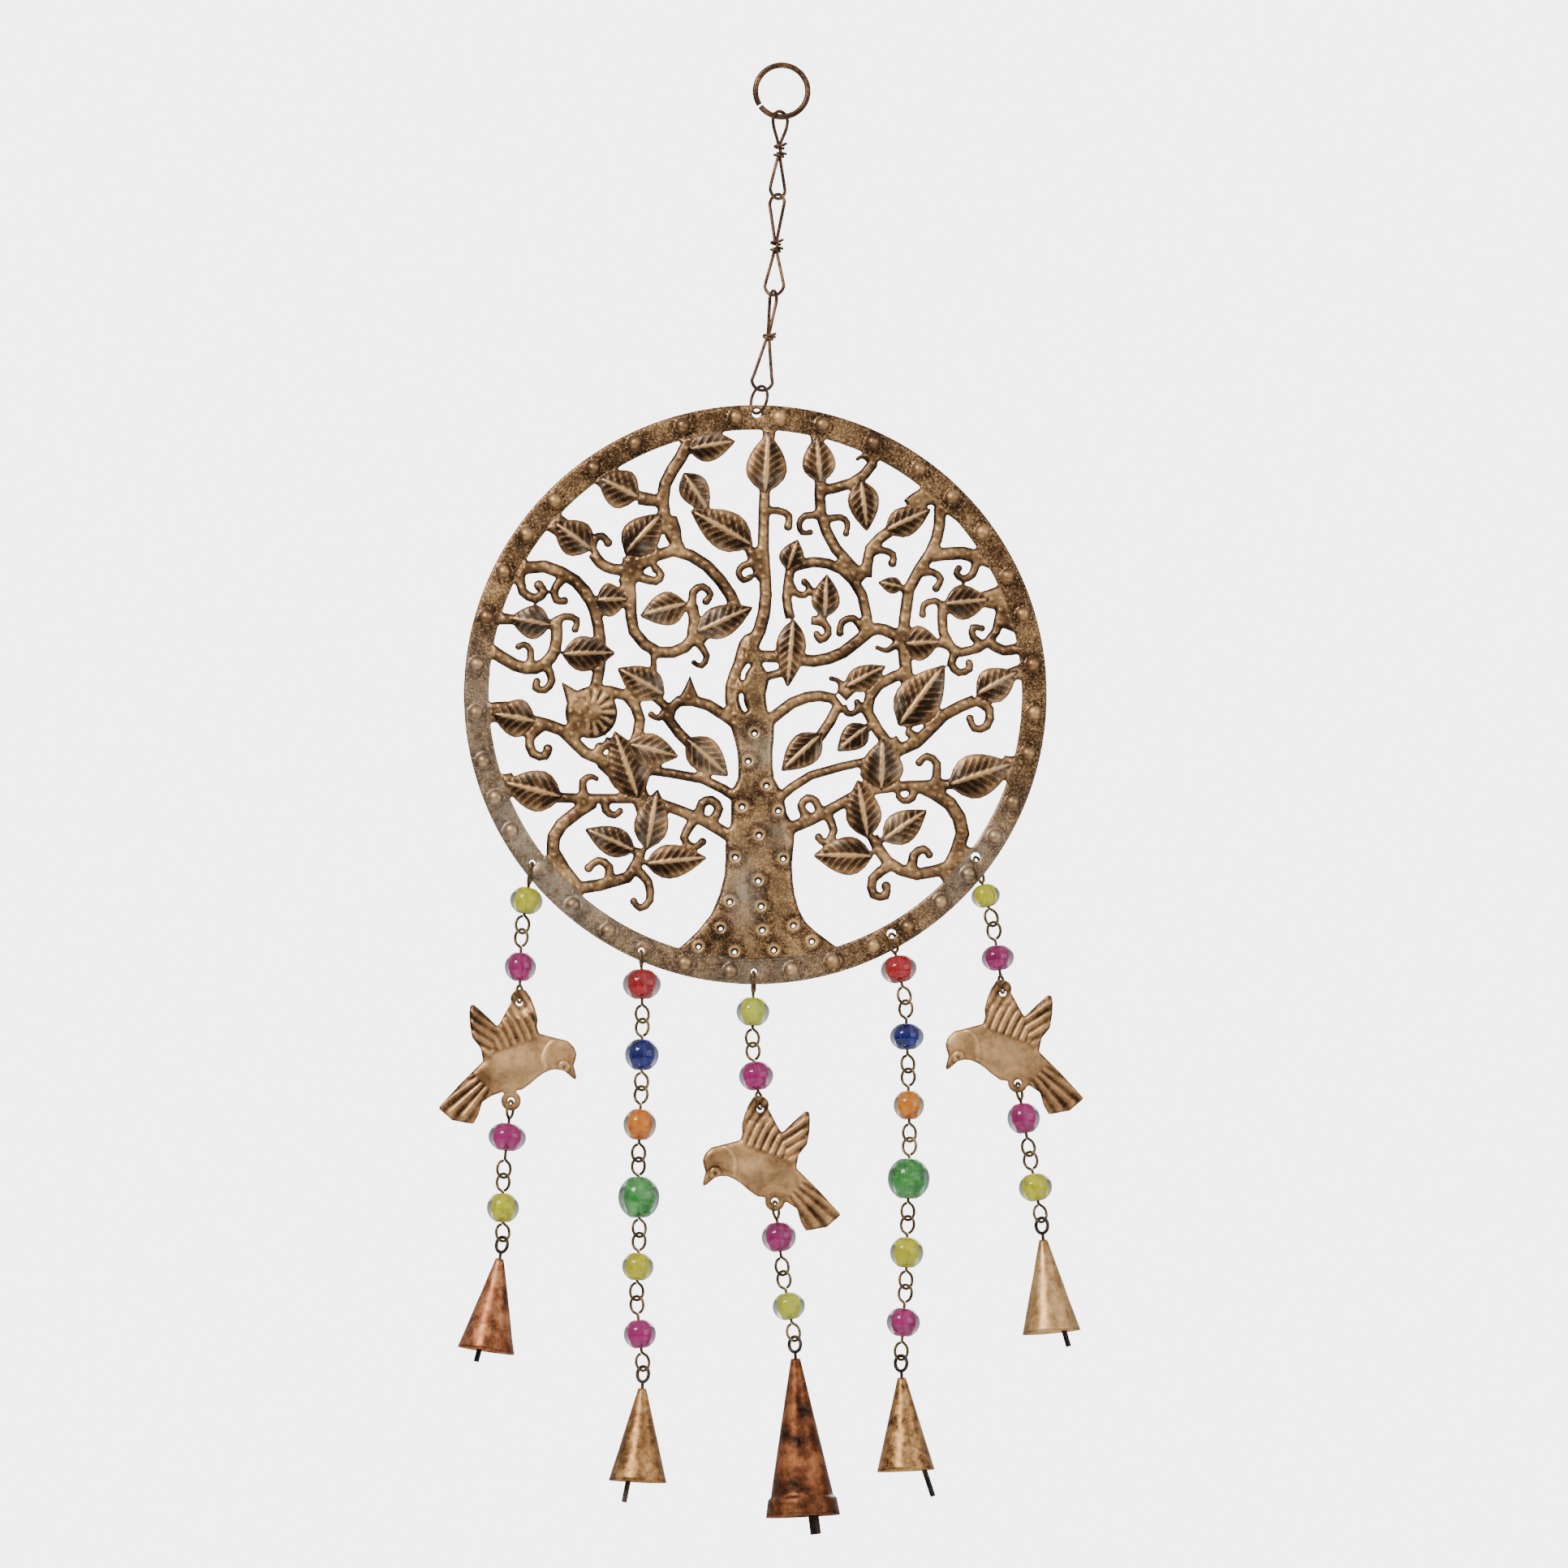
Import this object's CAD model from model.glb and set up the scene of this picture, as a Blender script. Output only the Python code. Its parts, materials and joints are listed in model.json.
"""Hanging tree wind chime: pressed relief, bent wire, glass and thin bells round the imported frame."""

import json
import math
import random

import bmesh
import bpy
import numpy as np
from mathutils import Matrix, Vector
from mathutils.kdtree import KDTree

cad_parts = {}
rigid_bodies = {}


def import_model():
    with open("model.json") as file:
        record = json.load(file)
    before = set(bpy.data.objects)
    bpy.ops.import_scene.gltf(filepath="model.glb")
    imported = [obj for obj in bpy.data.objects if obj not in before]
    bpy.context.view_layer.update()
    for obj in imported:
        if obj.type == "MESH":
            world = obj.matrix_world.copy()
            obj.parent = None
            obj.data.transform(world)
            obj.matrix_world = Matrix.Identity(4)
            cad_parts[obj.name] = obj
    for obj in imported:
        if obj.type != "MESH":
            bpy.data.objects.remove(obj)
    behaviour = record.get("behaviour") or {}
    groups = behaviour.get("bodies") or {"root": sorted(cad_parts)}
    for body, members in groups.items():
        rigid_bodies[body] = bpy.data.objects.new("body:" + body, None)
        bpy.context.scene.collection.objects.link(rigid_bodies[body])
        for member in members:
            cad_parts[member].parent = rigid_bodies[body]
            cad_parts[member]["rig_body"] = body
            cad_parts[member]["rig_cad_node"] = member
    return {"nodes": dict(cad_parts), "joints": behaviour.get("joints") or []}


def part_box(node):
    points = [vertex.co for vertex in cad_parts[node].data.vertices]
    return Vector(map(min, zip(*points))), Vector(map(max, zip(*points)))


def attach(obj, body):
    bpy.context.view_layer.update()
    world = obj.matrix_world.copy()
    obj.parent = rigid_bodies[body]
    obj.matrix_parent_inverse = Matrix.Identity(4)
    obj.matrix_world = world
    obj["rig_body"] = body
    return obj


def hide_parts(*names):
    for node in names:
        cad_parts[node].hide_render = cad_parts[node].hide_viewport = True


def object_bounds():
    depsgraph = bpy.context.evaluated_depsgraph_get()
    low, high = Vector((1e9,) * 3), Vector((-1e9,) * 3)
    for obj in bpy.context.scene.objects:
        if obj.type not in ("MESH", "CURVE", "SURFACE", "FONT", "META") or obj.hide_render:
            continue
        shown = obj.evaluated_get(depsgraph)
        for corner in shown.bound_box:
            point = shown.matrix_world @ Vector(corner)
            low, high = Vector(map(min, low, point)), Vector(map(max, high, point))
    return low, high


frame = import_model()
cad_box = [list(corner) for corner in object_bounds()]

MM = 0.001
WIRE = 0.5 * MM          # radius of an eye pin's wire
EYE = 2.9 * MM           # mean radius of an eye pin's eye
LINK_WIRE = 0.6 * MM     # radius of a chain link's wire
LINK_EYE = 3.55 * MM     # mean radius of the round end of a link's eye
PLAY = 0.15 * MM         # half of the play between two linked wires
LINKED_TURN = 42         # linked eyes are turned this far each way from the front
PLATE_TURN = 70          # turn of an eye that passes through a plate
HANGER_DROP = 6.7 * MM   # from a bell hanger's hinge to the tip of its bell
NECK_SHIFT = 0.62 * MM   # how far each wire of a link's neck lies beside the middle
BEAD_HOLE = 0.78         # radius of the hole through a bead's glass, in millimetres
CORE_HOLE = 0.84         # radius of the hole through its coloured core, in millimetres
CORE_SHARE = 0.25        # radius of that core, as a share of the bead's width
BELL_WALL = 0.6          # in millimetres
DISC_VOXEL = 0.46 * MM   # grain of the fine copies of the pressed sheets
BIRD_VOXEL = 0.36 * MM
FLOOR_RADIUS = 1.1       # metres
FLOOR_DROP = 0.36        # metres from the lowest point of the chime down to the floor
FLOOR_SIDES = 64

rng = random.Random(7)
joints = {j["child"]: j for j in frame["joints"]}


def hinge(body):
    """Where a body hangs from its parent, at rest."""
    return Vector(joints[body]["pos_m"])


# ---- materials ---------------------------------------------------------------------
class Nodes:
    """A material's node tree, with a few shorthands."""

    def __init__(self, name):
        self.material = bpy.data.materials.new(name)
        self.material.use_nodes = True
        self.tree = self.material.node_tree
        self.shader = self.tree.nodes["Principled BSDF"]
        self.where = self.add("ShaderNodeTexCoord").outputs["Object"]

    def add(self, kind, **values):
        node = self.tree.nodes.new(kind)
        for key, value in values.items():
            setattr(node, key, value)
        return node

    def link(self, source, target):
        self.tree.links.new(source, target)

    def noise(self, scale, detail=3.0, roughness=0.55, distortion=0.0):
        node = self.add("ShaderNodeTexNoise")
        node.inputs["Scale"].default_value = scale
        node.inputs["Detail"].default_value = detail
        node.inputs["Roughness"].default_value = roughness
        node.inputs["Distortion"].default_value = distortion
        self.link(self.where, node.inputs["Vector"])
        return node.outputs["Fac"]

    def ramp(self, source, stops):
        """stops are (place, value or colour)."""
        node = self.add("ShaderNodeValToRGB")
        bands = node.color_ramp.elements
        while len(bands) < len(stops):
            bands.new(0.5)
        for band, (place, colour) in zip(bands, stops):
            band.position = place
            if isinstance(colour, (int, float)):
                colour = (colour,) * 3
            band.color = (*colour, 1)
        self.link(source, node.inputs["Fac"])
        return node.outputs["Color"]

    def mix(self, share, a, b):
        node = self.add("ShaderNodeMix", data_type="RGBA")
        for key, value in (("Factor", share), ("A", a), ("B", b)):
            socket = next(s for s in node.inputs if s.name == key and s.enabled)
            if isinstance(value, bpy.types.NodeSocket):
                self.link(value, socket)
            else:
                socket.default_value = (*value, 1)
        return [s for s in node.outputs if s.enabled][0]

    def math(self, operation, a, b):
        node = self.add("ShaderNodeMath", operation=operation)
        for socket, value in zip(node.inputs, (a, b)):
            if isinstance(value, bpy.types.NodeSocket):
                self.link(value, socket)
            else:
                socket.default_value = value
        return node.outputs[0]

    def attribute(self, name):
        return self.add("ShaderNodeAttribute", attribute_name=name).outputs["Fac"]

    def bump(self, height, strength, distance):
        node = self.add("ShaderNodeBump")
        node.inputs["Strength"].default_value = strength
        node.inputs["Distance"].default_value = distance
        self.link(height, node.inputs["Height"])
        self.link(node.outputs["Normal"], self.shader.inputs["Normal"])

    def set(self, **values):
        for key, value in values.items():
            socket = self.shader.inputs[key.replace("_", " ")]
            if isinstance(value, bpy.types.NodeSocket):
                self.link(value, socket)
            else:
                socket.default_value = value


def patinated(name, dark, mid, light, wear=0.5, grain=900, rough=(0.3, 0.55)):
    """Metal with a brown patina: cloudy blotches, fine stipple and rubbed brighter spots."""
    n = Nodes(name)
    clouds = n.noise(120, 5, 0.6)
    stipple = n.noise(grain, 3, 0.7)
    blend = n.math("ADD", n.math("MULTIPLY", clouds, 0.6), n.math("MULTIPLY", stipple, 0.4))
    colour = n.ramp(blend, [(wear - 0.14, dark), (wear, mid), (wear + 0.13, light)])
    n.set(Base_Color=colour, Metallic=0.85, Roughness=n.ramp(clouds, [(0.35, rough[0]), (0.7, rough[1])]))
    n.bump(stipple, 0.25, 0.1 * MM)
    return n.material


def relief_metal(name, dark, mid, light, silver):
    """Pressed sheet: dark in the hollows and tan on the raised parts, with silvery rubbed patches.

    It reads three attributes of the mesh: relief, 0 in the hollows and 1 on the ridges, patina,
    the share of dark stippled finish, and worn, where the finish is rubbed down to silver."""
    n = Nodes(name)
    relief, patina, worn = (n.attribute(key) for key in ("relief", "patina", "worn"))
    clouds = n.noise(70, 5, 0.65)
    stipple = n.noise(1300, 2, 0.8)
    scratches = n.noise(330, 6, 0.75)
    cloudy = n.math("MULTIPLY", n.math("SUBTRACT", clouds, 0.5), 1.3)
    fine = n.math("SUBTRACT", scratches, 0.5)
    height = n.math("ADD", n.math("ADD", relief, cloudy), fine)
    base = n.ramp(height, [(0.12, dark), (0.45, mid), (0.95, light)])
    speck = n.math("ADD", n.math("MULTIPLY", stipple, 0.8), n.math("MULTIPLY", cloudy, 0.2))
    speckled = n.ramp(speck, [(0.34, dark), (0.43, mid), (0.56, light)])
    colour = n.mix(n.math("MULTIPLY", patina, 0.8), base, speckled)
    rubbed = n.math("MULTIPLY", n.ramp(scratches, [(0.38, 0.25), (0.6, 1.0)]), worn)
    colour = n.mix(rubbed, colour, silver)
    n.set(Base_Color=colour, Metallic=0.75, Roughness=n.ramp(clouds, [(0.3, 0.3), (0.7, 0.5)]))
    bumps = n.math("ADD", n.math("MULTIPLY", stipple, 0.7), n.math("MULTIPLY", scratches, 0.5))
    n.bump(bumps, 0.45, 0.14 * MM)
    return n.material


def glass(name, tint):
    """Hand-made glass: clear with swirls of a tint, and not quite smooth."""
    n = Nodes(name)
    swirl = n.noise(260, 2, 0.5, 1.2)
    n.set(
        Base_Color=n.ramp(swirl, [(0.3, tint), (0.7, (1, 1, 1))]),
        Transmission_Weight=1.0,
        IOR=1.48,
        Roughness=n.ramp(swirl, [(0.4, 0.02), (0.8, 0.07)]),
    )
    return n.material


def core_colour(name, deep, bright):
    """The coloured tube inside a glass bead, streaked along the hole."""
    n = Nodes(name)
    streaks = n.noise(170, 3, 0.55, 1.2)
    n.set(
        Base_Color=n.ramp(streaks, [(0.35, deep), (0.65, bright)]),
        Roughness=n.ramp(streaks, [(0.3, 0.25), (0.7, 0.4)]),
    )
    return n.material


BRONZE_WIRE = patinated("bronze_wire", (0.03, 0.014, 0.008), (0.11, 0.055, 0.03), (0.34, 0.19, 0.1))
PIN_WIRE = patinated("pin_wire", (0.03, 0.016, 0.006), (0.12, 0.075, 0.028), (0.34, 0.24, 0.1))
DARK_WIRE = patinated("dark_wire", (0.012, 0.01, 0.009), (0.04, 0.028, 0.02), (0.15, 0.1, 0.07), rough=(0.4, 0.65))
TREE = relief_metal("tree_bronze", (0.02, 0.009, 0.004), (0.2, 0.1, 0.041), (0.82, 0.5, 0.22), (0.52, 0.42, 0.31))
BIRD = relief_metal("bird_bronze", (0.045, 0.02, 0.009), (0.34, 0.17, 0.065), (0.8, 0.48, 0.21), (0.6, 0.38, 0.2))
BELL_SKINS = {
    "a": patinated("bell_coppery", (0.045, 0.013, 0.006), (0.29, 0.095, 0.038), (0.62, 0.27, 0.12), 0.5, 420),
    "b": patinated("bell_speckled", (0.03, 0.013, 0.006), (0.33, 0.155, 0.052), (0.66, 0.37, 0.14), 0.49, 520),
    "c": patinated("bell_burnt", (0.008, 0.005, 0.004), (0.16, 0.05, 0.018), (0.42, 0.16, 0.06), 0.5, 300),
    "d": patinated("bell_golden", (0.045, 0.018, 0.007), (0.36, 0.175, 0.06), (0.68, 0.39, 0.15), 0.48, 480),
    "e": patinated("bell_tan", (0.12, 0.055, 0.018), (0.42, 0.225, 0.085), (0.7, 0.43, 0.19), 0.43, 380),
}
CLEAR = glass("clear_glass", (0.93, 0.96, 0.95))
TINTED = {
    "green": glass("green_glass", (0.02, 0.45, 0.06)),
    "blue": glass("navy_glass", (0.2, 0.3, 0.8)),
    "red": glass("rosy_glass", (0.9, 0.5, 0.5)),
    "yellow": glass("lime_glass", (0.9, 0.92, 0.4)),
    "magenta": glass("pink_glass", (0.9, 0.5, 0.75)),
    "orange": glass("amber_glass", (0.95, 0.7, 0.4)),
}
CORES = {
    "yellow": core_colour("core_yellow", (0.58, 0.52, 0.0), (0.86, 0.84, 0.0)),
    "magenta": core_colour("core_magenta", (0.3, 0.0, 0.12), (0.55, 0.0, 0.22)),
    "red": core_colour("core_red", (0.35, 0.0, 0.005), (0.62, 0.004, 0.012)),
    "blue": core_colour("core_blue", (0.001, 0.002, 0.12), (0.002, 0.01, 0.32)),
    "orange": core_colour("core_orange", (0.65, 0.15, 0.0), (0.95, 0.36, 0.0)),
    "green": core_colour("core_green", (0.03, 0.32, 0.05), (0.3, 0.72, 0.25)),
    "yellow_green": core_colour("core_yellow_green", (0.55, 0.56, 0.01), (0.80, 0.82, 0.04)),
}


# ---- mesh helpers --------------------------------------------------------------------
def piece(name, verts, faces, material, body, stands_for=()):
    """Mesh object that rides on a body and may stand for CAD nodes."""
    mesh = bpy.data.meshes.new(name)
    mesh.from_pydata([tuple(v) for v in verts], [], faces)
    made = bmesh.new()
    made.from_mesh(mesh)
    bmesh.ops.recalc_face_normals(made, faces=made.faces)
    made.to_mesh(mesh)
    made.free()
    mesh.polygons.foreach_set("use_smooth", [True] * len(mesh.polygons))
    mesh.materials.append(material)
    obj = bpy.data.objects.new(name, mesh)
    bpy.context.scene.collection.objects.link(obj)
    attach(obj, body)
    if stands_for:
        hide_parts(*stands_for)


def smooth(points, steps=6):
    """Catmull-Rom curve through points."""
    p = [Vector(q) for q in points]
    out = []
    for i in range(len(p) - 1):
        a, b, c, d = p[max(i - 1, 0)], p[i], p[i + 1], p[min(i + 2, len(p) - 1)]
        for k in range(steps):
            t = k / steps
            out.append(0.5 * (2 * b + (c - a) * t + (2 * a - 5 * b + 4 * c - d) * t * t
                              + (3 * b - a - 3 * c + d) * t ** 3))
    return out + [p[-1]]


def sweep(path, radius, sides=12):
    """Round wire along an open path, with flat cut ends."""
    verts, faces = [], []
    side = None
    for i, p in enumerate(path):
        way = (path[min(i + 1, len(path) - 1)] - path[max(i - 1, 0)]).normalized()
        if side is None:
            side = way.orthogonal().normalized()
        side = (side - way * side.dot(way)).normalized()
        up = way.cross(side)
        verts += [p + (side * math.cos(a) + up * math.sin(a)) * radius
                  for a in (2 * math.pi * k / sides for k in range(sides))]
    for i in range(len(path) - 1):
        for k in range(sides):
            a, b = i * sides + k, i * sides + (k + 1) % sides
            faces.append((a, b, b + sides, a + sides))
    faces.append(tuple(reversed(range(sides))))
    faces.append(tuple(range(len(verts) - sides, len(verts))))
    return verts, faces


def lathe(profile, segments, shape):
    """Closed outline of (radius, height) turned about the Z axis, with its radius from shape(angle, r, z)."""
    verts, faces = [], []
    m = len(profile)
    for k in range(segments):
        a = 2 * math.pi * k / segments
        for r, z in profile:
            bent = shape(a, r, z)
            verts.append(Vector((bent * math.cos(a), bent * math.sin(a), z)))
    for k in range(segments):
        for i in range(m):
            a, b = k * m + i, k * m + (i + 1) % m
            c, d = ((k + 1) % segments) * m + (i + 1) % m, ((k + 1) % segments) * m + i
            faces.append((a, b, c, d))
    return verts, faces


def hung(top, end):
    """Matrix that puts a piece drawn straight below the origin between two hinges."""
    way = end - top
    return Matrix.Translation(top) @ Matrix.Rotation(-math.atan2(way.x, -way.z), 4, "Y")


def turned(points, turn):
    """Points (x, z) of a flat bend, turned about the vertical, as 3-D points."""
    c, s = math.cos(math.radians(turn)), math.sin(math.radians(turn))
    return [Vector((x * c, x * s, z)) for x, z in points]


def place(verts, matrix):
    """Vertices moved by a matrix."""
    return [matrix @ v for v in verts]


# ---- relief of the pressed sheets -------------------------------------------------------
def pressed(node, voxel, height, material):
    """Fine copy of a flat CAD sheet, pressed forwards by height(x, z, edge) in millimetres.

    height gives four arrays: how far each point is pressed, its relief, patina and wear."""
    source = frame["nodes"][node]
    obj = source.copy()
    obj.data = source.data.copy()
    obj.name = obj.data.name = node + "_pressed"
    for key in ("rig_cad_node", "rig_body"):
        if key in obj:
            del obj[key]
    obj.parent = None
    bpy.context.scene.collection.objects.link(obj)
    remesh = obj.modifiers.new("remesh", "REMESH")
    remesh.mode, remesh.voxel_size = "VOXEL", voxel
    soften = obj.modifiers.new("soften", "SMOOTH")
    soften.factor, soften.iterations = 0.5, 2
    graph = bpy.context.evaluated_depsgraph_get()
    fine = bpy.data.meshes.new_from_object(obj.evaluated_get(graph))
    obj.modifiers.clear()
    obj.data = fine
    fine.name = obj.name
    count = len(fine.vertices)
    co = np.empty(count * 3)
    fine.vertices.foreach_get("co", co)
    co = co.reshape(-1, 3)
    normals = np.empty(count * 3)
    fine.vertices.foreach_get("normal", normals)
    rim = np.flatnonzero(np.abs(normals.reshape(-1, 3)[:, 1]) < 0.55)
    tree = KDTree(len(rim))
    for i, v in enumerate(rim):
        tree.insert((co[v, 0], 0, co[v, 2]), i)
    tree.balance()
    edge = np.array([tree.find((x, 0, z))[2] for x, _, z in co]) / MM
    out, relief, patina, worn = height(co[:, 0] / MM, co[:, 2] / MM, edge)
    co[:, 1] -= out * MM
    fine.vertices.foreach_set("co", co.ravel())
    for name, values in (("relief", relief), ("patina", patina), ("worn", worn)):
        layer = fine.attributes.new(name, "FLOAT", "POINT")
        layer.data.foreach_set("value", np.clip(values, 0, 1).astype(np.float32))
    fine.polygons.foreach_set("use_smooth", [True] * len(fine.polygons))
    fine.materials.clear()
    fine.materials.append(material)
    fine.update()
    body = source["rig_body"]
    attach(obj, body)
    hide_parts(node)


def step(x, low, high):
    """0 below low, 1 above high, smooth between."""
    t = np.clip((x - low) / (high - low), 0, 1)
    return t * t * (3 - 2 * t)


# The disc's relief, in millimetres about its centre. Leaves, as [foot, tip, width], and dimples are the CAD's.
LEAVES = [
    [[-40, 67.5], [-54, 74.5], 14], [[-56, 49.5], [-69, 59], 13], [[-44.5, 48], [-32, 62], 13.5],
    [[-70, 23.5], [-84, 26], 12], [[-66, 13.5], [-48, 14], 12.5], [[-54.5, 32], [-43.5, 32.5], 12],
    [[-23.5, 31], [-39.3, 26.7], 12], [[-20, 21], [-1, 29.7], 11.5], [[13, 25.5], [11, 2.3], 10.5],
    [[23.7, 26], [24.5, 41], 10], [[11, 42.5], [14.5, 53], 9], [[-23, 84], [-7, 87], 11],
    [[-24.5, 76], [-16, 62.5], 10.5], [[-1, 51], [-22, 63], 14], [[3.3, 69], [4.5, 90], 14.3],
    [[22.3, 72.5], [21, 89], 11.7], [[36.2, 73.5], [38.2, 56], 11], [[44.5, 56], [60, 63.5], 10.5],
    [[64.5, 30.7], [80, 32.3], 12.3], [[50.5, 36.5], [42, 38.3], 6], [[51, 17], [63, 17.7], 12.5],
    [[49, -11], [64.5, 9.7], 16], [[75.5, -0.5], [89.5, 7.5], 12.5], [[66, -31.5], [88, -24], 15.5],
    [[30.5, 2], [44.5, 9.5], 9], [[22.5, -14], [9, -26.5], 11.5], [[38.5, -11], [28, -19.7], 9.5],
    [[43, -33], [43.5, -15.5], 15], [[38.3, -49.5], [35, -29.7], 12.5], [[43.5, -50.5], [58.5, -40], 11.5],
    [[40, -55.8], [20, -55.5], 13.5], [[-66, -35.5], [-86, -30.5], 14.5], [[-40, -36], [-48, -13], 14.5],
    [[-41, -54], [-58, -46.5], 10.5], [[-37.5, -58.5], [-16.7, -56.3], 12], [[-37, -53.5], [-33.3, -33], 12],
    [[-75, -9.5], [-90, -7], 13.5], [[-31, -0.5], [-47, 8.7], 12], [[-23.5, -15.5], [-9.3, -28.3], 12],
    [[-43, -17.5], [-26.3, -21.6], 11.5]
]
DIMPLES = [
    [-0.3, -13.7], [-2.4, -23.3], [3.8, -31.7], [-4.5, -39], [7.9, -40.3], [1.3, -48.7], [-6.8, -56.3],
    [9.6, -56.7], [1, -64.3], [-8.7, -71.5], [2, -73], [13, -79.6], [-11.8, -80.6], [2.4, -81.2],
    [-19.3, -86.8], [-7, -88.6], [6.4, -88], [19.3, -85]
]
ROSETTE = [-56, -6.5, 9]   # middle and radius
# Angles of the rim's studs, in degrees from +X, and the radius of their circle. The CAD leaves out two that
# are close to a strand's hole, at -113.5 and -140.5 degrees, so those are low domes here.
STUDS = [
    85, 76, 65, 54, 45, 35.5, 25, 16.5, 6, -4, -12.5, -23, -31, -40.5, -48.5, -57, -65, -74, -82.5,
    -95, -104.5, -113.5, -121.5, -130.5, -140.5, -150.5, -158, -166, -176, 174, 164, 154, 145, 136,
    125.5, 115.5, 105, 94
]
STUD_CIRCLE = 95.5
RIM_IN = 91                # inner radius of the rim
MOST_DOTS = 420            # on the vines


def leaf_relief(x, z, foot, tip, width):
    """Dome with a raised midrib and side veins: (height, share of the leaf, ridge)."""
    fx, fz = foot
    wx, wz = tip[0] - fx, tip[1] - fz
    long = math.hypot(wx, wz)
    t = ((x - fx) * wx + (z - fz) * wz) / long ** 2
    s = ((z - fz) * wx - (x - fx) * wz) / long
    tc = np.clip(t, 0, 1)
    swell = np.where(tc < 0.38, np.sin(np.pi / 2 * tc / 0.38) ** 0.75,
                     np.cos(np.pi / 2 * np.clip((tc - 0.38) / 0.62, 0, 1)) ** 0.9)
    across = np.abs(s) / (width / 2 * np.maximum(swell, 0.08))
    inside = ((t > 0) & (t < 1) & (across < 1.02)).astype(float)
    dome = np.sqrt(np.clip(1 - across ** 2, 0, 1)) * np.sin(np.pi * np.clip(tc, 0.02, 0.98)) ** 0.4
    midrib = np.exp(-(s / 0.42) ** 2) * step(t, 0.0, 0.08) * (1 - step(t, 0.85, 0.98))
    phase = (t * long - np.abs(s) * 0.85) / 2.7
    vein = np.clip(np.cos(2 * np.pi * phase), 0, 1) ** 5
    vein = vein * step(np.abs(s), 0.2, 0.9) * (1 - step(across, 0.72, 0.95))
    height = (1.5 * dome + 0.45 * midrib + 0.3 * vein) * inside
    shoulder = step(across, 0.06, 0.22) * (1 - 0.75 * step(across, 0.45, 0.95))
    ridge = 0.64 + 0.55 * midrib + 0.5 * vein - 0.52 * shoulder - 0.2 * (1 - step(t, 0.0, 0.35))
    return height, inside, ridge


def spot(x, z, at, size):
    """Round soft spot: 1 at its middle, fading to 0."""
    return np.exp(-(((x - at[0]) / size) ** 2 + ((z - at[1]) / size) ** 2))


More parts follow.
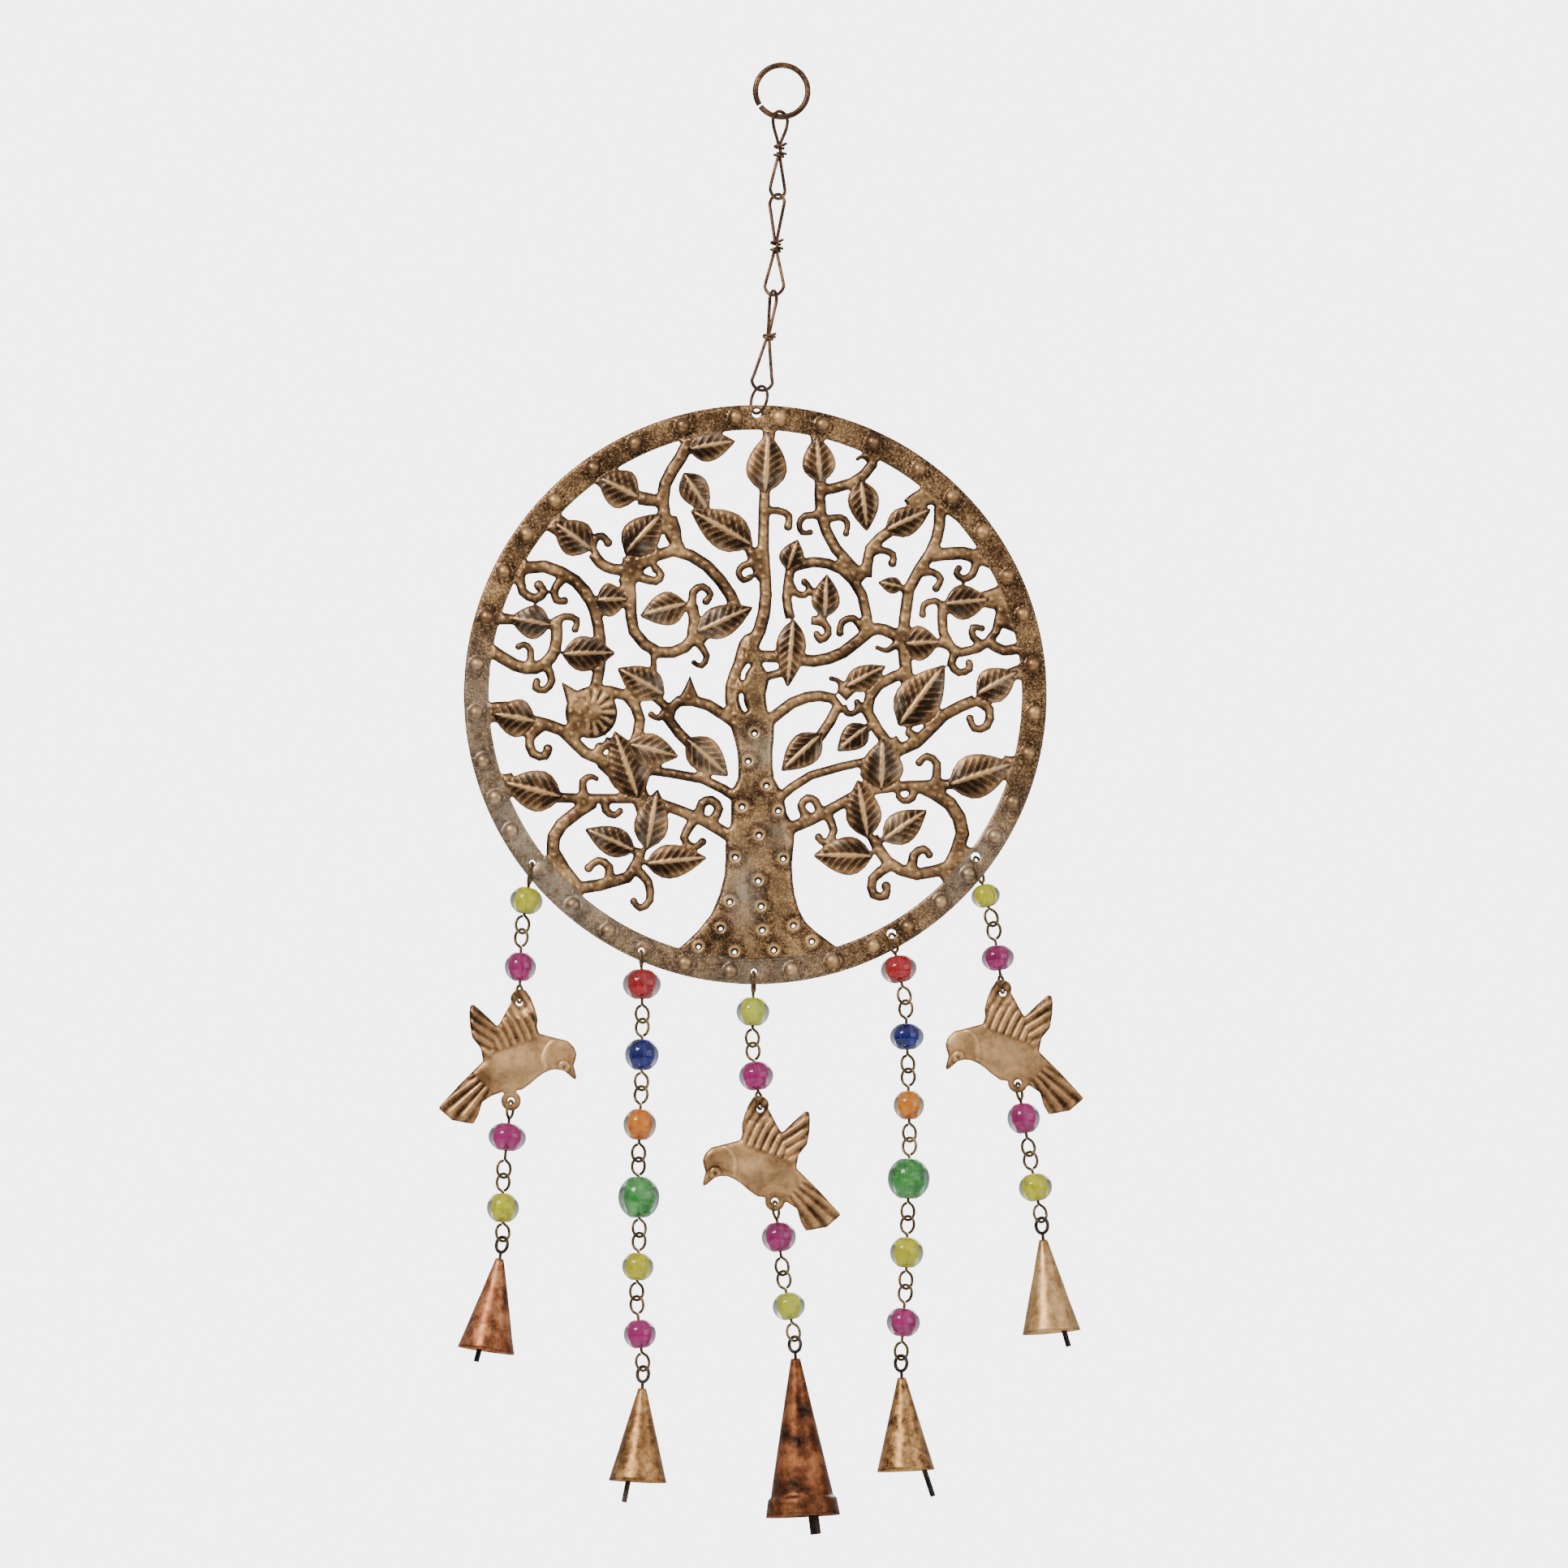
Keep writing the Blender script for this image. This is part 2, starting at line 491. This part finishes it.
def tree_relief(x, z, edge):
    """The disc's relief: rim with studs, rounded vines and trunk, leaves, dimples, rosette and vine dots."""
    x, z = x - disc_x, z - disc_z
    radius = np.hypot(x, z)
    pillow = np.sqrt(np.clip(1 - (1 - np.clip(edge / 2.2, 0, 1)) ** 2, 0, 1))
    rim = step(radius, RIM_IN - 0.6, RIM_IN + 0.4)
    half = np.interp(z, [-92, -78, -60, -30, 0, 20], [32, 17, 13, 8, 7, 3])
    trunk = (1 - step(np.abs(x) - half, -1.5, 0.5)) * (1 - step(z, 14, 22)) * (1 - rim)
    height = 0.9 * pillow * (1 - rim) + 0.35 * pillow * rim
    relief = 0.2 + 0.5 * step(edge, 0.3, 1.5)
    patina = 0.1 + 0.8 * rim + 0.65 * trunk
    relief = relief * (1 - rim) + (0.25 + 0.3 * step(edge, 0.2, 0.9)) * rim
    # the trunk is rounded, and each drilled dimple has a raised lip and a dark hollow round it
    height = height + 1.1 * trunk * pillow * np.clip(1 - (x / 16) ** 2, 0, 1)
    for dimple in DIMPLES:
        r = np.hypot(x - dimple[0], z - dimple[1])
        lip = np.exp(-((r - 1.5) / 0.45) ** 2)
        hole = np.exp(-(r / 0.85) ** 4)
        height = height + 0.5 * lip - 0.6 * hole
        relief = relief + 0.75 * lip - 0.45 * np.exp(-((r - 3.4) / 1.1) ** 2) - 1.4 * hole
        patina = patina * (1 - 0.9 * np.exp(-(r / 2.2) ** 4))
    # ribbed rosette
    r = np.hypot(x - ROSETTE[0], z - ROSETTE[1])
    turn = np.arctan2(z - ROSETTE[1], x - ROSETTE[0])
    flower = 1 - step(r, ROSETTE[2] - 1.5, ROSETTE[2])
    ribs = np.cos(turn * 14) * step(r, 3.2, 4.2) * step(x - ROSETTE[0], -3, 1)
    height = height + flower * (0.6 * np.cos(np.clip(r / ROSETTE[2], 0, 1) * np.pi / 2) + 0.25 * ribs)
    relief = relief + flower * (0.4 * ribs - 0.15)
    # studs are rubbed bright, with a dark foot
    for angle in STUDS:
        a = math.radians(angle)
        r = np.hypot(x - STUD_CIRCLE * math.cos(a), z - STUD_CIRCLE * math.sin(a))
        on = (1 - step(r, 2.3, 2.9)) * rim
        hollow = np.exp(-((r - 3.5) / 0.7) ** 2)
        relief = relief * (1 - on) + (0.45 + 0.35 * np.exp(-(r / 1.3) ** 2)) * on - 0.5 * hollow * rim
        patina = patina * (1 - on)
        height = height + 0.5 * np.sqrt(np.clip(1 - (r / 2.5) ** 2, 0, 1)) * rim
    leaf = 0 * x
    for foot, tip, width in LEAVES:
        h, inside, ridge = leaf_relief(x, z, foot, tip, width)
        keep = inside * (1 - rim)
        leaf = np.maximum(leaf, keep)
        height = height * (1 - keep) + (0.25 + h) * keep
        relief = relief * (1 - keep) + ridge * keep
        patina = patina * (1 - keep) + 0.08 * keep
    # small raised dots along the middles of the vines, the widest places first
    order = np.flatnonzero((edge > 1.45) & (rim < 0.1) & (trunk < 0.3) & (leaf < 0.5))
    order = order[np.argsort(-np.round(edge[order], 2), kind="stable")][::5]
    dots = []
    for i in order:
        if len(dots) < MOST_DOTS and all((x[i] - a) ** 2 + (z[i] - b) ** 2 > 9 for a, b in dots):
            dots.append((x[i], z[i]))
    for dot in dots:
        near = spot(x, z, dot, 0.6)
        height += 0.3 * near
        relief += 0.5 * near - 0.3 * spot(x, z, dot, 1.5)
    around = np.degrees(np.arctan2(z, x))
    worn = rim * (np.exp(-((around + 140) / 26) ** 2) + 0.8 * np.exp(-((around + 38) / 12) ** 2)
                  + 0.5 * np.exp(-((around + 88) / 14) ** 2) + 0.45 * np.exp(-((np.abs(around) - 178) / 9) ** 2))
    worn += trunk * (spot(x, (z + 68) * 0.5, (-4, 0), 5) + 0.8 * spot(x, z, (2, -20), 6)
                     + 0.6 * spot(x, z, (10, -48), 6))
    worn += leaf * 0.5 * spot(np.sin(x * 0.31), np.cos(z * 0.27), (0.6, 0.5), 0.5)
    return height, relief, patina, np.clip(0.75 * worn, 0, 0.7)


def strokes(u, v, slope, spacing, bend):
    """Chased parallel strokes: 1 on a ridge and 0 in a groove."""
    across = v * math.cos(slope) - u * math.sin(slope)
    along = u * math.cos(slope) + v * math.sin(slope)
    return 0.5 + 0.5 * np.cos(2 * np.pi * (across + bend * along ** 2) / spacing)


def bird_relief(flip, wing, ear):
    """Chased feathers on wings and tail, a collar, a round eye and a pillowed edge, drawn flying left.

    The sheet stays flat round its two holes, where the wires swing."""
    wing_x, wing_z = wing.x / MM, wing.z / MM

    def height(x, z, edge):
        u, v = (x - wing_x) * flip, z - wing_z
        pillow = np.sqrt(np.clip(1 - (1 - np.clip(edge / 3, 0, 1)) ** 2, 0, 1))
        body = np.exp(-(((u + 1) / 9) ** 2 + ((v + 22) / 6) ** 2))
        near_wing = step(v + 0.35 * u, -15.5, -13.5) * (1 - step(u + 0.25 * v, 4, 6)) * step(u, -7, -5)
        far_wing = step(u + 0.25 * v, 4, 6) * step(v - 0.2 * u, -22, -20)
        tail = step(0.7 * (u - 8) - 0.7 * (v + 26), 3, 5) * (1 - far_wing)
        quills = near_wing * strokes(u, v, 0.95, 2.7, 0.012) + far_wing * strokes(u, v, 0.5, 2.9, -0.006)
        fan = np.degrees(np.arctan2(v + 18, u - 2))
        quills += tail * (0.5 + 0.5 * np.cos(np.radians(fan * 42)))
        feathered = np.clip(near_wing + far_wing + tail, 0, 1)
        eye = np.hypot(u + 15.3, v + 22)
        ring = np.exp(-((eye - 1.3) / 0.4) ** 2)
        collar = np.exp(-((np.hypot(u + 17, v + 20) - 8.6) / 0.5) ** 2) * step(edge, 0.3, 1.2)
        pressed_by = pillow + 1.1 * body + 0.4 * quills ** 2 + 0.35 * ring + 0.3 * collar
        for hole in (wing, ear):
            pressed_by = pressed_by * step(np.hypot(x - hole.x / MM, z - hole.z / MM), 2.6, 6)
        relief = 0.62 + feathered * (0.5 * quills - 0.42) + 0.3 * ring + 0.35 * collar
        relief = relief - 0.5 * np.exp(-(eye / 0.6) ** 2) - 0.25 * np.exp(-((eye - 2.3) / 0.5) ** 2) + 0.15 * body
        return pressed_by, relief * (0.6 + 0.4 * step(edge, 0.2, 1)), 0.08 + 0 * x, 0.35 * body

    return height


# ---- the disc ------------------------------------------------------------------------
low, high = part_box("tree_disc")
disc_x, disc_z = (low.x + high.x) / 2 / MM, (low.z + high.z) / 2 / MM
pressed("tree_disc", DISC_VOXEL, tree_relief, TREE)


# ---- ring and chain --------------------------------------------------------------------
def loop_points(radius, centre, start, end, steps):
    """Arc of points (x, z) from angle start to end, in degrees counted from the bottom."""
    angles = [math.radians(start + (end - start) * k / steps) for k in range(steps + 1)]
    return [(radius * math.sin(a), centre - radius * math.cos(a)) for a in angles]


def chain_link(body, end, upper, lower, turn_up, turn_down):
    """Two teardrop eyes bent from one wire, their necks tied by two wraps with cut tails."""
    top = hinge(body)
    length = (end - top).length
    reach = LINK_WIRE + PLAY
    neck_up = reach - upper * MM + 0.4 * MM
    neck_down = -length - reach + lower * MM - 0.4 * MM
    upper_centre, lower_centre = reach - LINK_EYE, -length - reach + LINK_EYE
    middle = (neck_up + neck_down) / 2
    aside, away = LINK_EYE * 0.8, LINK_EYE * 0.75   # where the round of an eye goes over into its neck
    eye = [(NECK_SHIFT, neck_down), (NECK_SHIFT, middle), (NECK_SHIFT, neck_up), (aside, upper_centre - away)]
    eye += loop_points(LINK_EYE, upper_centre, 95, 265, 8)
    eye += [(-aside, upper_centre - away), (-NECK_SHIFT, neck_up), (-NECK_SHIFT, middle + 0.5 * MM)]
    parts = [sweep(smooth(turned(eye, turn_up), 5), LINK_WIRE)]
    eye = [(NECK_SHIFT, neck_down + 1.2 * MM), (NECK_SHIFT, neck_down), (aside, lower_centre + away)]
    eye += [(x, 2 * lower_centre - z) for x, z in loop_points(LINK_EYE, lower_centre, 95, 265, 8)]
    eye += [(-aside, lower_centre + away), (-NECK_SHIFT, neck_down), (-NECK_SHIFT, middle - 0.5 * MM)]
    parts.append(sweep(smooth(turned(eye, turn_down), 5), LINK_WIRE))
    # each wrap goes round a little more than once, in steps of 18 degrees, and ends in a cut tail
    for level, way in ((neck_up - 1.2 * MM, 1), (neck_down + 1.2 * MM, -1)):
        coil = []
        for k in range(23):
            a = math.radians(18 * k) * way
            coil.append((1.5 * MM * math.cos(a), 1.25 * MM * math.sin(a), level + (k - 11) * 0.055 * MM))
        coil.append((coil[-1][0] + 1.2 * MM, coil[-1][1] - 1.0 * MM, coil[-1][2] + 0.5 * MM * way))
        parts.append(sweep(smooth(coil, 3), 0.5 * MM, 10))
    verts, faces = [], []
    for v, f in parts:
        faces += [tuple(i + len(verts) for i in face) for face in f]
        verts += v
    piece(body + "_bent_wire", place(verts, hung(top, end)), faces, BRONZE_WIRE, body, [body])


chain_link("chain_link_1", hinge("chain_link_2"), 11.4, 14.4, 45, 45)
chain_link("chain_link_2", hinge("chain_link_3"), 16, 15, -45, -25)
chain_link("chain_link_3", hinge("jump_ring"), 15, 17.7, 72, 10)

# ---- strands -----------------------------------------------------------------------------
# For each strand its bodies, its beads' (depth below the pin's upper hinge, width, height) and colours,
# and the length and turn of its first eye
STRANDS = {
    "a": (["pin_a1", "pin_a2", "bird_a", "pin_a3", "pin_a4", "bell_a"],
          [(13.1, 11.2, 8.8), (12.2, 10.8, 9.4), (12.4, 13, 9.1), (10.9, 10.8, 9.6)],
          ["yellow", "magenta", "magenta", "yellow"], (7.6, 78)),
    "b": (["pin_b1", "pin_b2", "pin_b3", "pin_b4", "pin_b5", "pin_b6", "bell_b"],
          [(11.4, 12.8, 9.8), (11.6, 11.4, 10.2), (12.4, 11.4, 10.2), (12.8, 13.9, 13.6),
           (10.8, 10.8, 9.1), (12.2, 11.1, 9.4)],
          ["red", "blue", "orange", "green", "yellow", "magenta"], (5.2, 78)),
    "c": (["pin_c1", "pin_c2", "bird_c", "pin_c3", "pin_c4", "bell_c"],
          [(13.6, 11.1, 9.4), (10.7, 11.6, 9.4), (12.2, 11.6, 9.7), (11.4, 11.1, 8.9)],
          ["yellow_green", "magenta", "magenta", "yellow_green"], (7.4, 78)),
    "d": (["pin_d1", "pin_d2", "pin_d3", "pin_d4", "pin_d5", "pin_d6", "bell_d"],
          [(12.3, 12.2, 8.9), (11.7, 11.6, 8.6), (11.8, 10.5, 9.4), (13.3, 14.1, 13.3),
           (11.7, 11.4, 10), (12.1, 11.4, 9.4)],
          ["red", "blue", "orange", "green", "yellow", "magenta"], (6.8, 50)),
    "e": (["pin_e1", "pin_e2", "bird_e", "pin_e3", "pin_e4", "bell_e"],
          [(13.7, 10, 7.6), (11.6, 11.1, 8.3), (12.2, 11.1, 10), (11.5, 11.6, 9.1)],
          ["yellow", "magenta", "magenta", "yellow"], (9.2, 58)),
}


def bead_outline(width, height):
    """Outline of a drop-wound bead as (radius, height) in metres, its hole's edges softened."""
    half, flat = width / 2, math.radians(66)
    tall = height / 2 / math.sin(flat)
    out = [(half * math.cos(a), tall * math.sin(a)) for a in np.linspace(-flat, flat, 15)]
    top = height / 2
    mouth = [(half * math.cos(flat) * 0.75, top), (BEAD_HOLE + 0.35, top * 0.985), (BEAD_HOLE, top * 0.92)]
    out += mouth + [(r, -z) for r, z in reversed(mouth)]
    return [(r * MM, z * MM) for r, z in out]


def core_outline(width, height):
    """Outline of a bead's coloured core as (radius, height) in metres, narrower at both ends."""
    r, top = width * CORE_SHARE, height / 2 * 0.9
    out = [(r * (0.9 + 0.1 * math.cos(t * math.pi)), top * t) for t in np.linspace(-0.95, 0.95, 11)]
    out += [(CORE_HOLE, top), (CORE_HOLE, -top)]
    return [(a * MM, b * MM) for a, b in out]


def eye_pin(name, top, end, body, stands_for, first=None, from_bird=False, to_bird=False):
    """Wire with an eye at each end, bent for what it hangs from and what hangs on it.

    first is the (length, turn) of the long eye that hooks a strand to the disc."""
    length = (end - top).length
    reach_top = 0 if first or from_bird else WIRE + PLAY
    reach_end = 0 if to_bird else WIRE + PLAY
    lower = EYE - length - reach_end
    if first:
        drop, turn_up = first[0] * MM, first[1]
        r = 1.9 * MM
        hook = [(0.25 * MM, -drop + 0.3 * MM), (r * 0.9, -drop + r * 0.8)]
        hook += loop_points(r, -r, 100, 260, 6)
        hook += [(-r * 0.9, -drop + r * 0.8), (-0.2 * MM, -drop - 0.2 * MM), (0, -drop - 1.2 * MM)]
    else:
        turn_up = PLATE_TURN if from_bird else -LINKED_TURN
        centre = reach_top - EYE
        hook = loop_points(EYE, centre, 14, 338, 15)
        hook += [(-0.2 * MM, centre - EYE - 0.45 * MM), (0, centre - EYE - 1.6 * MM)]
    turn_down = PLATE_TURN if to_bird else LINKED_TURN
    loop = [(x, 2 * lower - z) for x, z in loop_points(EYE, lower, 22, 346, 15)]
    path = turned(hook, turn_up)
    path += turned([(0, lower + EYE + 1.6 * MM), (0.2 * MM, lower + EYE + 0.45 * MM)] + loop, turn_down)
    verts, faces = sweep(smooth(path, 3), WIRE, 12)
    piece(name, place(verts, hung(top, end)), faces, PIN_WIRE, body, stands_for)


def glass_bead(name, top, end, body, size, colour, stands_for):
    """Bead of clear or tinted glass, slightly oval, round a coloured core."""
    depth, width, height = size
    m = hung(top, end) @ Matrix.Translation((0, 0, -depth * MM))
    lean = rng.uniform(0, 6.28)
    skew = rng.uniform(0.01, 0.02)
    verts, faces = lathe(bead_outline(width, height), 40,
                         lambda a, r, z: r * (1 + skew * math.cos(2 * a + lean)))
    piece(name + "_glass", place(verts, m), faces, TINTED.get(colour, CLEAR), body, stands_for)
    verts, faces = lathe(core_outline(width, height), 28,
                         lambda a, r, z: r * (1 + 0.04 * math.sin(3 * a + lean)))
    piece(name + "_core", place(verts, m), faces, CORES[colour], body)


for strand, (bodies, beads, colours, first_eye) in STRANDS.items():
    n = 0
    for k, body in enumerate(bodies[:-1]):
        if body.startswith("bird"):
            continue
        top, end = hinge(body), hinge(bodies[k + 1])
        own = body in frame["nodes"]
        eye_pin(body + "_wire", top, end, body, [body] if own else ["beaded_" + body],
                first=first_eye if k == 0 else None,
                from_bird=bodies[k - 1].startswith("bird"), to_bird=bodies[k + 1].startswith("bird"))
        bead = f"bead_{strand}{n + 1}"
        glass_bead(bead, top, end, body, beads[n], colours[n], [bead] if own else [])
        n += 1

for strand, flip in (("a", -1), ("c", 1), ("e", 1)):
    relief = bird_relief(flip, hinge("bird_" + strand), hinge(f"pin_{strand}3"))
    pressed("bird_" + strand, BIRD_VOXEL, relief, BIRD)


# ---- bells -------------------------------------------------------------------------------
def bell(strand, profile):
    """Thin sheet rolled to a cone: an overlapping seam, soft dents and a slightly uneven mouth."""
    body = "bell_" + strand
    top, inner = hinge(body), hinge("clapper_" + strand)
    axis = hung(top, inner) @ Matrix.Translation((0, 0, -HANGER_DROP))
    seam = rng.uniform(0.5, 2.6)
    dents = [(rng.uniform(0, 6.28), rng.uniform(0.3, 0.95), rng.uniform(0.1, 0.3)) for _ in range(9)]
    depth = profile[-1][1]

    def shape(a, r, z):
        t = -z / MM / depth
        over = (a - seam) % (2 * math.pi)
        lap = 0.28 * min(1, max(0, 1 - (over - 0.3) / 0.5))
        dent = 0
        for at, level, dented in dents:
            aside = (a - at + math.pi) % (2 * math.pi) - math.pi
            dent += dented * math.exp(-((aside / 0.35) ** 2 + ((t - level) / 0.09) ** 2))
        oval = 0.12 * math.cos(2 * a + seam) * t
        return r + (lap * min(1, t * 4) - dent * t + oval - 0.2 * t) * MM

    outer = []
    for (r0, z0), (r1, z1) in zip(profile, profile[1:]):
        steps = max(2, int((z1 - z0) / 1.2))
        outer += [(r0 + (r1 - r0) * k / steps, z0 + (z1 - z0) * k / steps) for k in range(steps)]
    outer.append(profile[-1])
    loop = [(r * MM, -z * MM) for r, z in outer]
    loop += [((profile[-1][0] - BELL_WALL / 2) * MM, -(profile[-1][1] + 0.1) * MM)]
    loop += [((r - BELL_WALL) * MM, -z * MM) for r, z in reversed(outer)]
    verts, faces = lathe(loop, 88, shape)
    piece(body + "_rolled", place(verts, axis), faces, BELL_SKINS[strand], body, [body])


for strand in "abde":
    bell(strand, [(1.4, 0), (10, 31.5)])
bell("c", [(1.6, 0), (10.9, 46.5), (12, 47.6), (12.9, 53.3)])

# ---- finish of the CAD pieces that stay --------------------------------------------------
for name, node in frame["nodes"].items():
    skin = None
    if name in ("hanging_ring", "jump_ring"):
        skin = BRONZE_WIRE
    elif name.startswith(("bell_hanger", "clapper")):
        skin = DARK_WIRE
    if skin:
        node.data.materials.clear()
        node.data.materials.append(skin)
        node.data.polygons.foreach_set("use_smooth", [True] * len(node.data.polygons))
        soften = node.modifiers.new("edges", "BEVEL")
        soften.width, soften.segments, soften.limit_method = 0.12 * MM, 2, "ANGLE"

# ---- studio ------------------------------------------------------------------------------
low, high = (Vector(corner) for corner in cad_box)
centre = Vector((0.8 * MM, 0, -247.6 * MM))   # what the camera and the lights point at

floor = bpy.data.meshes.new("floor")
edge = [(FLOOR_RADIUS * math.cos(a), FLOOR_RADIUS * math.sin(a), low.z - FLOOR_DROP)
        for a in np.linspace(0, 2 * math.pi, FLOOR_SIDES, endpoint=False)]
floor.from_pydata(edge, [], [tuple(range(FLOOR_SIDES))])
floor_obj = bpy.data.objects.new("floor", floor)
bpy.context.scene.collection.objects.link(floor_obj)
plain = Nodes("floor_pale")
plain.set(Base_Color=plain.ramp(plain.noise(6), [(0.3, 0.78), (0.7, 0.82)]), Roughness=0.8)
floor.materials.append(plain.material)


def area_light(name, at, size, power, colour=(1, 1, 1)):
    data = bpy.data.lights.new(name, "AREA")
    data.size, data.energy, data.color = size, power, colour
    obj = bpy.data.objects.new(name, data)
    obj.location = at
    obj.rotation_euler = (centre - Vector(at)).to_track_quat("-Z", "Y").to_euler()
    bpy.context.scene.collection.objects.link(obj)


area_light("key", (-0.9, -1.2, 0.7), 0.6, 26, (1, 0.98, 0.95))
area_light("fill", (1.3, -1.1, -0.1), 1.2, 9, (0.96, 0.98, 1))
area_light("back", (0.4, 1.3, 0.4), 0.8, 12)

WHITE = 5.0   # the backdrop, as the camera sees it
world = bpy.data.worlds.new("studio")
world.use_nodes = True
bpy.context.scene.world = world
tree = world.node_tree
background = tree.nodes["Background"]
where = tree.nodes.new("ShaderNodeTexCoord")
split = tree.nodes.new("ShaderNodeSeparateXYZ")
sky = tree.nodes.new("ShaderNodeValToRGB")
sky.color_ramp.elements[0].position, sky.color_ramp.elements[0].color = 0.35, (0.16, 0.155, 0.15, 1)
sky.color_ramp.elements[1].position, sky.color_ramp.elements[1].color = 0.8, (0.75, 0.76, 0.78, 1)
half = tree.nodes.new("ShaderNodeMath")
half.operation = "MULTIPLY_ADD"
half.inputs[1].default_value = half.inputs[2].default_value = 0.5
seen = tree.nodes.new("ShaderNodeLightPath")
pick = tree.nodes.new("ShaderNodeMix")
pick.data_type = "RGBA"
tree.links.new(where.outputs["Generated"], split.inputs[0])
tree.links.new(split.outputs["Z"], half.inputs[0])
tree.links.new(half.outputs[0], sky.inputs["Fac"])
# sockets of the mix node in colour mode: 0 is the share, 6 and 7 the colours, output 2 the result
tree.links.new(seen.outputs["Is Camera Ray"], pick.inputs[0])
tree.links.new(sky.outputs["Color"], pick.inputs[6])
pick.inputs[7].default_value = (WHITE, WHITE, WHITE, 1)
tree.links.new(pick.outputs[2], background.inputs["Color"])

FRAME_WIDTH = 0.535      # metres that the picture takes in at the chime
DISTANCE = 3.2           # metres from the camera to the chime
SENSOR = 36              # millimetres
RISE = math.radians(6)   # the camera looks up a little, into the mouths of the bells
lens = bpy.data.cameras.new("camera")
lens.sensor_width = SENSOR
lens.lens = SENSOR * DISTANCE / FRAME_WIDTH
lens.clip_start, lens.clip_end = 0.05, 30
camera = bpy.data.objects.new("camera", lens)
camera.location = centre + Vector((0, -DISTANCE * math.cos(RISE), -DISTANCE * math.sin(RISE)))
camera.rotation_euler = (math.pi / 2 + RISE, 0, 0)
bpy.context.scene.collection.objects.link(camera)
bpy.context.scene.camera = camera
